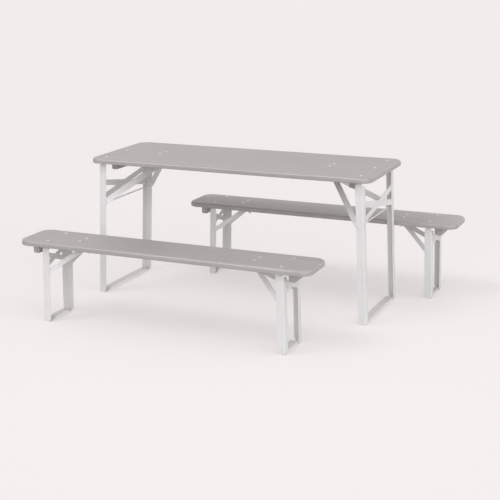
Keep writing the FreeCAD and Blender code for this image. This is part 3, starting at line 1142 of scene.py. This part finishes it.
@dataclass
class LegFrame(Piece):
    """Two legs of angle steel with rounded feet, and the raised runner between them."""

    corner: Rounding = Rounding(8)
    foot_corner: Rounding = Rounding(21, 7)
    heel_fold: Rounding = Rounding(3, 4)
    foot_spare: float = 20
    edge: float = 0.6
    runner_lift: float = 17
    runner_end: float = 12
    runner_slope: float = 38
    runner_taper: float = 15
    runner_bend: Rounding = Rounding(8)
    runner_edge: float = 0.5

    def legs(self) -> Workpiece:
        """Fold both legs, about the hinge line: flange first, then the web. The foot is cut to the floor.

        Returns:
            The two legs.
        """
        sizes = self.sizes
        wall, cut = sizes.angle_wall, self.corner.radius
        edge, heel = sizes.inset - sizes.angle_width, sizes.inset - wall / 2
        outer, inner = sizes.frame_half - wall / 2, sizes.frame_half - sizes.angle_width
        foot = sizes.floor_at(heel)
        leg = Workpiece.block(
            "leg frame", (edge, outer, foot - self.foot_spare), (heel, outer, sizes.leg_rise))
        leg.slice((0, 0, 0), (0, 0, 1), clear=False)
        leg.draw_out(at(x=heel, below=0), (0, inner - outer, 0))
        leg.round_corners(at(z=sizes.leg_rise), self.corner)
        leg.round_corners(at(y=inner, z=0), self.corner)
        leg.round_edges(at(x=heel, y=outer, below=0), self.heel_fold)
        leg.slice((heel, 0, foot), (-math.sin(sizes.lean), 0, -math.cos(sizes.lean)))
        leg.slice((heel - cut, outer, foot), (1, 1, -1))
        leg.round_corners(at(x=edge, below=foot + cut), self.foot_corner)
        leg.round_corners(at(y=inner, below=foot + cut), self.corner)
        leg.thicken(wall)
        leg.mirror()
        return leg

    def runner(self) -> Workpiece:
        """Fold the runner from a level strip: flat on the floor at both ends, raised between them.

        Returns:
            The runner, leaning against the leg's lean so that it lies level.
        """
        sizes, lift = self.sizes, self.runner_lift
        wall, face = sizes.angle_wall, sizes.flange_face
        low_x, high_x = sizes.inset - sizes.angle_width, sizes.inset - wall
        floor = sizes.floor_at(high_x)
        level = floor + wall / 2
        low_end = face - self.runner_end
        high_end = low_end - self.runner_slope
        stops = [(-low_end, 0), (-high_end, lift), (high_end, lift), (low_end, 0), (face, 0)]
        runner = Workpiece.block("runner", (low_x, -face, level), (high_x, -low_end, level))
        for (y, z), (next_y, next_z) in zip(stops, stops[1:]):
            runner.draw_out(at(y=y), (0, next_y - y, next_z - z))
        runner.pick_points(lambda p: abs(p.y) > face - NEAR and p.x < low_x + NEAR)
        runner.shift((self.runner_taper, 0, 0))
        for y, _ in stops[:-1]:
            runner.round_edges(at(y=y), self.runner_bend)
        runner.thicken(wall)
        runner.ease(self.runner_edge)
        heel = Matrix.Translation((high_x * MM, 0, floor * MM))
        runner.settle(heel @ Matrix.Rotation(sizes.lean, 4, "Y") @ heel.inverted())
        return runner

    def build(self) -> bpy.types.Object:
        """Make legs and runner one leaning frame.

        Returns:
            The finished frame.
        """
        legs = self.legs()
        legs.ease(self.edge)
        whole = join([legs, self.runner()])
        whole.settle(self.sizes.leg_place)
        return whole.close()


@dataclass
class CrossBrace(Piece):
    """Two flats that cross between the legs, against the inner faces of their webs."""

    thickness: float = 3
    edge: float = 0.5

    def build(self) -> bpy.types.Object:
        """Draw the cross as one outline and give it its thickness.

        Returns:
            The finished brace.
        """
        sizes = self.sizes
        reach = sizes.flange_face
        low, high = -sizes.brace_low, -sizes.brace_high
        middle = (low + high) / 2
        slope = (high - low) / (2 * reach)
        half = sizes.brace_width / 2 * math.hypot(slope, 1)
        right = [(reach, high + half), (reach, high - half), (half / slope, middle), (reach, low + half),
                 (reach, low - half)]
        left = [(-y, z) for y, z in reversed(right)]
        course = [(0, middle + half), *right, (0, middle - half), *left]
        x = sizes.inset - sizes.angle_wall - self.thickness
        brace = Workpiece.outline("cross brace", [(x, y, z) for y, z in course])
        brace.extrude((self.thickness, 0, 0))
        brace.ease(self.edge)
        brace.settle(sizes.leg_place)
        return brace.close()


@dataclass
class StrutRod(Piece):
    """The round rod between the table legs that the strut turns on."""

    def build(self) -> bpy.types.Object:
        """Make the rod.

        Returns:
            The finished rod.
        """
        x, z = self.sizes.strut_pivot
        face = self.sizes.flange_face
        return Workpiece.rod("strut rod", (x, -face, z), (x, face, z), self.sizes.pin_radius).close()


@dataclass
class Strut(Piece):
    """Two flat arms, bent towards each other, with the lock pin between their tips."""

    straight: float = 8
    fold: Rounding = Rounding(7)
    end_steps: int = 14
    edge: float = 0.7
    pin_in_arm: float = 1
    head_radius: float = 7
    head_height: float = 2.3

    def arms(self) -> Workpiece:
        """Fold one arm from a bar with round ends and mirror it.

        Returns:
            Both arms.
        """
        sizes = self.sizes
        half, length = sizes.strut_width / 2, sizes.strut_length
        outer = sizes.turning_face - sizes.strut_plate / 2
        inner = sizes.apex_gap + sizes.strut_plate / 2
        near_leg, near_pin = -(half + self.straight), -(length - half - self.straight)
        leg_end = arc((0, 0), half, -90, 90, self.end_steps)
        pin_end = arc((-length, 0), half, 90, 270, self.end_steps)
        arms = Workpiece.outline("strut", [(x, outer, z) for x, z in leg_end + pin_end])
        arms.slice((near_leg, 0, 0), (1, 0, 0), clear=False)
        arms.slice((near_pin, 0, 0), (1, 0, 0), clear=False)
        arms.pick_points(lambda p: p.x < near_pin + NEAR)
        arms.shift((0, inner - outer, 0))
        for x in (near_leg, near_pin):
            arms.round_edges(at(x=x), self.fold)
        arms.thicken(sizes.strut_plate)
        arms.mirror()
        arms.ease(self.edge)
        return arms

    def build(self) -> bpy.types.Object:
        """Put the lock pin between the arms and stand the strut up.

        Returns:
            The finished strut.
        """
        sizes, tip = self.sizes, -self.sizes.strut_length
        reach = sizes.apex_gap + self.pin_in_arm
        face = sizes.apex_gap + sizes.strut_plate - SINK
        parts = [self.arms(), Workpiece.rod("lock pin", (tip, -reach, 0), (tip, reach, 0), sizes.pin_radius)]
        for side in (-1, 1):
            foot, axis = (tip, side * face, 0), (0, side, 0)
            parts.append(Workpiece.dome("pin head", foot, axis, self.head_radius, self.head_height))
        whole = join(parts)
        whole.settle(sizes.strut_place)
        return whole.close()


@dataclass
class Rivets(Piece):
    """Riveted pins of a leg frame: the leg hinge, and the strut's pivot."""

    radius: float = 7.5
    height: float = 2.6
    inner_radius: float = 5.5
    inner_height: float = 1.5

    def pins(self, drop: float, inside: float) -> list[Workpiece]:
        """Make a pin through each leg, with a head outside and a smaller one inside.

        Args:
            drop: Distance of the pin below the hinge, along the leg.
            inside: Thickness of what turns on the pin, inside the flange; 0 leaves out shank and inner head.

        Returns:
            The parts of both pins.
        """
        sizes = self.sizes
        inner_head = (self.inner_radius, self.inner_height)
        parts: list[Workpiece] = []
        for side in (-1, 1):
            outer = (0, side * (sizes.frame_half - SINK), -drop)
            parts.append(Workpiece.dome("rivet", outer, (0, side, 0), self.radius, self.height))
            if inside:
                inner = (0, side * (sizes.turning_face - inside - SINK), -drop)
                start = (0, side * sizes.flange_face, -drop)
                parts.append(Workpiece.rod("shank", start, inner, sizes.pin_radius))
                parts.append(Workpiece.dome("rivet", inner, (0, -side, 0), *inner_head))
        return parts

    def build(self) -> bpy.types.Object:
        """Make all rivets of one leg frame.

        Returns:
            The finished rivets.
        """
        sizes = self.sizes
        turning = 0 if sizes.round_rod else sizes.strut_plate
        whole = join(self.pins(0, sizes.plate) + self.pins(sizes.strut_drop, turning))
        whole.settle(sizes.leg_place)
        return whole.close()


@dataclass
class LegWelds(Piece):
    """Weld beads of a leg frame: at the brace's ends, on the runner's ends and round the strut rod's ends."""

    bead: Weld = Weld()
    margin: float = 2
    ring_bead: Weld = Weld(1.2)
    ring_gap: float = 0.3
    ring_steps: int = 12

    def build(self) -> bpy.types.Object:
        """Lay all beads of one leg frame.

        Returns:
            The finished beads.
        """
        sizes = self.sizes
        web = sizes.inset - sizes.angle_wall
        brace_x, half = web - CrossBrace(sizes).thickness, sizes.brace_width / 2 - self.margin
        low_x = sizes.inset - sizes.angle_width + LegFrame(sizes).runner_taper + self.margin
        top = sizes.floor_at(low_x) + sizes.angle_wall
        ring = arc((0, -sizes.strut_drop), sizes.pin_radius + self.ring_gap, 0, 360, self.ring_steps)
        beads: list[Workpiece] = []
        for y in (-sizes.flange_face, sizes.flange_face):
            for height in (-sizes.brace_high, -sizes.brace_low):
                beads.append(self.bead.run((brace_x, y, height - half), (brace_x, y, height + half)))
            beads.append(self.bead.run((low_x, y, top), (web - self.margin, y, top)))
            if sizes.round_rod:
                for (x, z), (next_x, next_z) in zip(ring, ring[1:]):
                    beads.append(self.ring_bead.run((x, y, z), (next_x, y, next_z)))
        whole = join(beads)
        whole.settle(sizes.leg_place)
        return whole.close(smooth=60)


@dataclass
class Bolts(Piece):
    """Mushroom-head bolts through the board at one end, with washers, nuts and short tails below."""

    head_radius: float = 8.5
    head_height: float = 2.6
    head_rim: float = 0.6
    washer_rim: float = 1.2
    washer_thickness: float = 1
    washer_sides: int = 28
    washer_edge: float = 0.25
    nut_radius: float = 7.6
    nut_height: float = 5
    nut_rim: float = 0.9
    nut_crown: float = 0.35
    nut_wall: float = 2.4
    nut_bore: float = 0.8
    nut_edge: float = 0.3
    tail_radius: float = 3.3
    tail: float = 2
    tail_in_nut: float = 1
    tail_sides: int = 24
    tail_edge: float = 0.7

    def places(self) -> list[Place]:
        """Where the bolts are.

        Returns:
            Distance outward, distance across, and thickness of the plate below, of each bolt.
        """
        sizes = self.sizes
        hinge = [(sizes.hinge_out, y, sizes.plate) for y in sizes.hinge_bolts]
        lock = [(sizes.apex_out, y, sizes.lock_plate) for y in sizes.lock_bolts]
        return hinge + lock

    def heads(self) -> bpy.types.Object:
        """Make the heads on the board.

        Returns:
            The finished heads.
        """
        top, form = self.sizes.height - SINK, (self.head_radius, self.head_height, self.head_rim)
        parts = [Workpiece.dome("bolt heads", (x, y, top), (0, 0, 1), *form) for x, y, _ in self.places()]
        return join(parts).close()

    def nut(self, x: float, y: float, high: float, low: float) -> Workpiece:
        """Make a hexagonal nut with a crowned lower face and a bore.

        Args:
            x: Distance outward.
            y: Distance across.
            high: Height of its upper face.
            low: Height of its lower face.

        Returns:
            The nut.
        """
        nut = Workpiece.rod("nut", (x, y, high), (x, y, low), self.nut_radius, sides=6)
        nut.pick_underside()
        nut.inset(self.nut_rim)
        nut.shift((0, 0, -self.nut_crown))
        nut.inset(self.nut_wall)
        nut.extrude((0, 0, self.nut_bore))
        nut.ease(self.nut_edge)
        return nut

    def nuts(self) -> bpy.types.Object:
        """Make the washers, nuts and tails under the plates.

        Returns:
            The finished group.
        """
        parts: list[Workpiece] = []
        for x, y, plate in self.places():
            face = self.sizes.under - plate
            seat = face - self.washer_thickness
            low = seat - self.nut_height
            washer_radius = self.nut_radius + self.washer_rim
            washer = Workpiece.rod(
                "washer", (x, y, face + SINK), (x, y, seat), washer_radius, self.washer_sides)
            washer.ease(self.washer_edge)
            parts += [washer, self.nut(x, y, seat + SINK, low)]
            tail = Workpiece.rod(
                "tail", (x, y, low + self.tail_in_nut), (x, y, low - self.tail), self.tail_radius,
                self.tail_sides)
            tail.ease(self.tail_edge, steps=1)
            parts.append(tail)
        return join(parts).close(smooth=30)


@dataclass
class CleatScrews(Piece):
    """Pan-head screws with a cross slot that hold a cleat from below."""

    radius: float = 5
    height: float = 2.2
    rim: float = 0.5
    slot_reach: float = 2.4
    slot_half: float = 0.55
    slot_depth: float = 1.1
    slot_below: float = 1

    def build(self) -> bpy.types.Object:
        """Make the screws of one cleat.

        Returns:
            The finished screws.
        """
        x, bottom = self.sizes.cleat_out, self.sizes.under - Cleat(self.sizes).depth + SINK
        low, form = bottom - self.height, (self.radius, self.height, self.rim)
        reach, half = self.slot_reach, self.slot_half
        parts: list[Workpiece] = []
        for y in self.sizes.cleat_screws:
            head = Workpiece.dome("screw heads", (x, y, bottom), (0, 0, -1), *form)
            for along, across in ((reach, half), (half, reach)):
                start = (x - along, y - across, low - self.slot_below)
                end = (x + along, y + across, low + self.slot_depth)
                head.cut_out(Workpiece.block("slot", start, end))
            parts.append(head)
        return join(parts).close()


# The set


@dataclass
class Fitting:
    """A finished master piece and how its copies are used."""

    master: bpy.types.Object
    label: str
    slot: Slot
    carrier: Carrier
    node: str | None


@dataclass
class Workshop:
    """Makes the masters for the table or the benches."""

    sizes: UnitSizes
    paints: dict[Slot, bpy.types.Material]

    def finish(self, master: bpy.types.Object, label: str, slot: Slot, node: str | None = None,
               carrier: Carrier = Carrier.TOP) -> Fitting:
        """Give a master its finish.

        Args:
            master: The finished shape.
            label: Last part of its copies' names.
            slot: Its finish.
            node: Last part of the name of the CAD node that it stands for, if any.
            carrier: What it moves with.

        Returns:
            The fitting.
        """
        master.data.materials.clear()
        master.data.materials.append(self.paints[slot])
        return Fitting(master, label, slot, carrier, node)

    def board(self) -> Fitting:
        """Make the board's master."""
        return self.finish(Board(self.sizes).build(), "painted_board", Slot.BOARD, "board")

    def fittings(self) -> list[Fitting]:
        """Make all masters of what both ends have.

        Returns:
            The fittings.
        """
        sizes, bolts, leg = self.sizes, Bolts(self.sizes), Carrier.LEG
        made = [
            self.finish(Cleat(sizes).build(), "painted_cleat", Slot.CLEAT, "cleat"),
            self.finish(HingePlate(sizes).build(), "folded_hinge_plate", Slot.PLATE, "hinge_plate"),
            self.finish(LockBracket(sizes).build(), "hooked_lock_bracket", Slot.PLATE, "lock_bracket"),
            self.finish(Catch(sizes).build(), "spring_catch", Slot.SPRING, "catch"),
            self.finish(bolts.heads(), "bolt_heads", Slot.BOLT),
            self.finish(bolts.nuts(), "nuts", Slot.BOLT),
            self.finish(CleatScrews(sizes).build(), "cleat_screws", Slot.BOLT),
            self.finish(LegFrame(sizes).build(), "angle_legs", Slot.FRAME, "leg_frame", leg),
            self.finish(CrossBrace(sizes).build(), "flat_brace", Slot.FRAME, "cross_brace", leg),
            self.finish(Rivets(sizes).build(), "rivets", Slot.FRAME, carrier=leg),
            self.finish(LegWelds(sizes).build(), "weld_beads", Slot.FRAME, carrier=leg),
            self.finish(Strut(sizes).build(), "bent_strut", Slot.FRAME, "strut", Carrier.STRUT),
        ]
        if sizes.round_rod:
            rod = StrutRod(sizes).build()
            made.append(self.finish(rod, "round_strut_rod", Slot.FRAME, "strut_rod", leg))
        return made


class Unit:
    """The table or a bench: places a board and, at both ends, copies of the fittings."""

    def __init__(self, name: str, top: str) -> None:
        """Find the unit's place in the frame.

        Args:
            name: The unit's name in the frame.
            top: Body that carries its board.
        """
        self.name = name
        self.top = top
        low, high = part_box(name + "_board")
        self.middle = Vector(((low.x + high.x) / 2, (low.y + high.y) / 2, 0))

    def body(self, carrier: Carrier, end: End) -> str:
        """The frame's body that a fitting moves with.

        Args:
            carrier: What the fitting moves with.
            end: The end that it belongs to.

        Returns:
            The body's name.
        """
        return self.top if carrier is Carrier.TOP else f"{self.name}_{end.word}_{carrier.value}"

    def put(self, fitting: Fitting, start: str, turn: float, body: str) -> None:
        """Copy a master into its place, with its own mesh.

        Args:
            fitting: The master and its use.
            start: First part of the names of the copy and of the CAD node that it stands for.
            turn: Turn about the unit's middle, in degrees.
            body: Body that the copy rides on.
        """
        clear_selection()
        fitting.master.select_set(True)
        bpy.context.view_layer.objects.active = fitting.master
        bpy.ops.object.duplicate(linked=False)
        copy = bpy.context.object
        copy.name = copy.data.name = start + fitting.label
        copy.matrix_world = Matrix.Translation(self.middle) @ Matrix.Rotation(math.radians(turn), 4, "Z")
        bpy.ops.object.transform_apply(location=True, rotation=True, scale=True)
        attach(copy, body)
        if fitting.node:
            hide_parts(start + fitting.node)
        log.info("%s: %d faces on %s", copy.name, len(copy.data.polygons), body)

    def dress(self, board: Fitting, fittings: Sequence[Fitting]) -> None:
        """Put the board and all fittings in place.

        Args:
            board: The board's master.
            fittings: The masters of what both ends have.
        """
        self.put(board, f"{self.name}_", 0, self.top)
        for end in End:
            for fitting in fittings:
                self.put(fitting, f"{self.name}_{end.word}_", end.value, self.body(fitting.carrier, end))


def place_new(name: str, data: bpy.types.ID) -> bpy.types.Object:
    """Put a new lamp or camera into the scene.

    Args:
        name: The object's name.
        data: The lamp's or the camera's own data.

    Returns:
        The object.
    """
    item = bpy.data.objects.new(name, data)
    bpy.context.scene.collection.objects.link(item)
    return item


@dataclass(frozen=True)
class Sun:
    """A broad, even lamp: angles in degrees, azimuth 0 in front and 90 to the right."""

    name: str
    strength: float
    spread: float
    azimuth: float
    elevation: float

    def shine(self) -> None:
        """Add the lamp to the scene."""
        lamp = bpy.data.lights.new(self.name, "SUN")
        lamp.energy = self.strength
        lamp.angle = math.radians(self.spread)
        across, up = math.radians(self.azimuth), math.radians(self.elevation)
        back = Vector((math.sin(across) * math.cos(up), -math.cos(across) * math.cos(up), math.sin(up)))
        item = place_new(self.name, lamp)
        item.rotation_mode = "QUATERNION"
        item.rotation_quaternion = back.to_track_quat("Z", "Y")


@dataclass(frozen=True)
class Studio:
    """The pale floor, the soft light and the camera."""

    background: Colour = (0.879, 0.831, 0.831)
    floor_size: float = 240
    floor_height: float = -0.0005
    floor_light: float = 1.18
    seen_share: float = 0.5
    bounce: Colour = (0.6, 0.575, 0.575)
    sky: float = 0.52
    suns: tuple[Sun, ...] = (
        Sun("key", 0.65, 26, -42, 52), Sun("front", 0.8, 50, 20, 16), Sun("fill", 1.0, 50, 72, 14))
    softbox_power: float = 12
    softbox_size: Spot = (2.6, 2.0)
    softbox_place: Place = (0.5, -1.2, 3.3)
    lens: float = 80.25
    sensor: float = 36
    eye: Place = (2.3226, -5.2959, 1.8479)
    yaw: float = 23.73
    pitch: float = 14.95
    roll: float = -0.42

    def world(self) -> None:
        """Light from all sides, with the photograph's pale background where it is seen directly."""
        world = bpy.data.worlds.new("pale studio")
        bpy.context.scene.world = world
        world.use_nodes = True
        nodes = Nodes(world.node_tree)
        light = nodes.add("Background", {"Color": (1, 1, 1, 1), "Strength": self.sky})
        plain = nodes.add("Background", {"Color": (*self.background, 1), "Strength": 1})
        shaders = {"Fac": nodes.seen(), 1: light.outputs["Background"], 2: plain.outputs["Background"]}
        mix = nodes.add("MixShader", shaders)
        nodes.add("OutputWorld", {"Surface": mix.outputs["Shader"]})

    def floor(self) -> None:
        """The plain pale floor: half glow and half lit where it is seen, so that it keeps the shadow."""
        clear_selection()
        bpy.ops.mesh.primitive_plane_add(size=self.floor_size, location=(0, 0, self.floor_height))
        floor = bpy.context.object
        floor.name = "studio_floor"
        recipe = Recipe("studio floor")
        seen = recipe.seen()
        lit = [c * (1 - self.seen_share) * self.floor_light for c in self.background]
        recipe.shade(
            Base_Color=recipe.blend(seen, self.bounce, lit), Roughness=0.9, Specular_IOR_Level=0.1,
            Emission_Color=(*self.background, 1),
            Emission_Strength=recipe.count("MULTIPLY", seen, self.seen_share))
        floor.data.materials.append(recipe.material)

    def softbox(self) -> None:
        """A wide lamp above the right-hand half, whose light falls off towards the left-hand ends."""
        lamp = bpy.data.lights.new("softbox", "AREA")
        lamp.shape = "RECTANGLE"
        lamp.size, lamp.size_y = self.softbox_size
        lamp.energy = self.softbox_power
        place_new("softbox", lamp).location = self.softbox_place

    def camera(self) -> None:
        """The camera, where the photograph was taken from."""
        data = bpy.data.cameras.new("camera")
        data.lens = self.lens
        data.sensor_width = self.sensor
        item = place_new("camera", data)
        place = Matrix.Translation(self.eye)
        for angle, axis in ((self.yaw, "Z"), (90 - self.pitch, "X"), (self.roll, "Z")):
            place = place @ Matrix.Rotation(math.radians(angle), 4, axis)
        item.matrix_world = place
        bpy.context.scene.camera = item

    def set_up(self) -> None:
        """Build the whole studio."""
        bpy.context.scene.view_settings.view_transform = "Standard"
        self.world()
        self.floor()
        self.softbox()
        for sun in self.suns:
            sun.shine()
        self.camera()


def main() -> None:
    """Build the set."""
    logging.basicConfig(level=logging.INFO, format="%(message)s")
    clear_selection()
    Studio().set_up()
    paints = {slot: finish.material() for slot, finish in FINISHES.items()}
    units = (
        (TABLE, [Unit("table", "table_top")]),
        (BENCH, [Unit("front_bench", "front_bench_seat"), Unit("rear_bench", "rear_bench_seat")]),
    )
    for sizes, members in units:
        workshop = Workshop(sizes, paints)
        board, fittings = workshop.board(), workshop.fittings()
        for unit in members:
            unit.dress(board, fittings)
        for fitting in (board, *fittings):
            bpy.data.objects.remove(fitting.master)


if __name__ == "__main__":
    main()
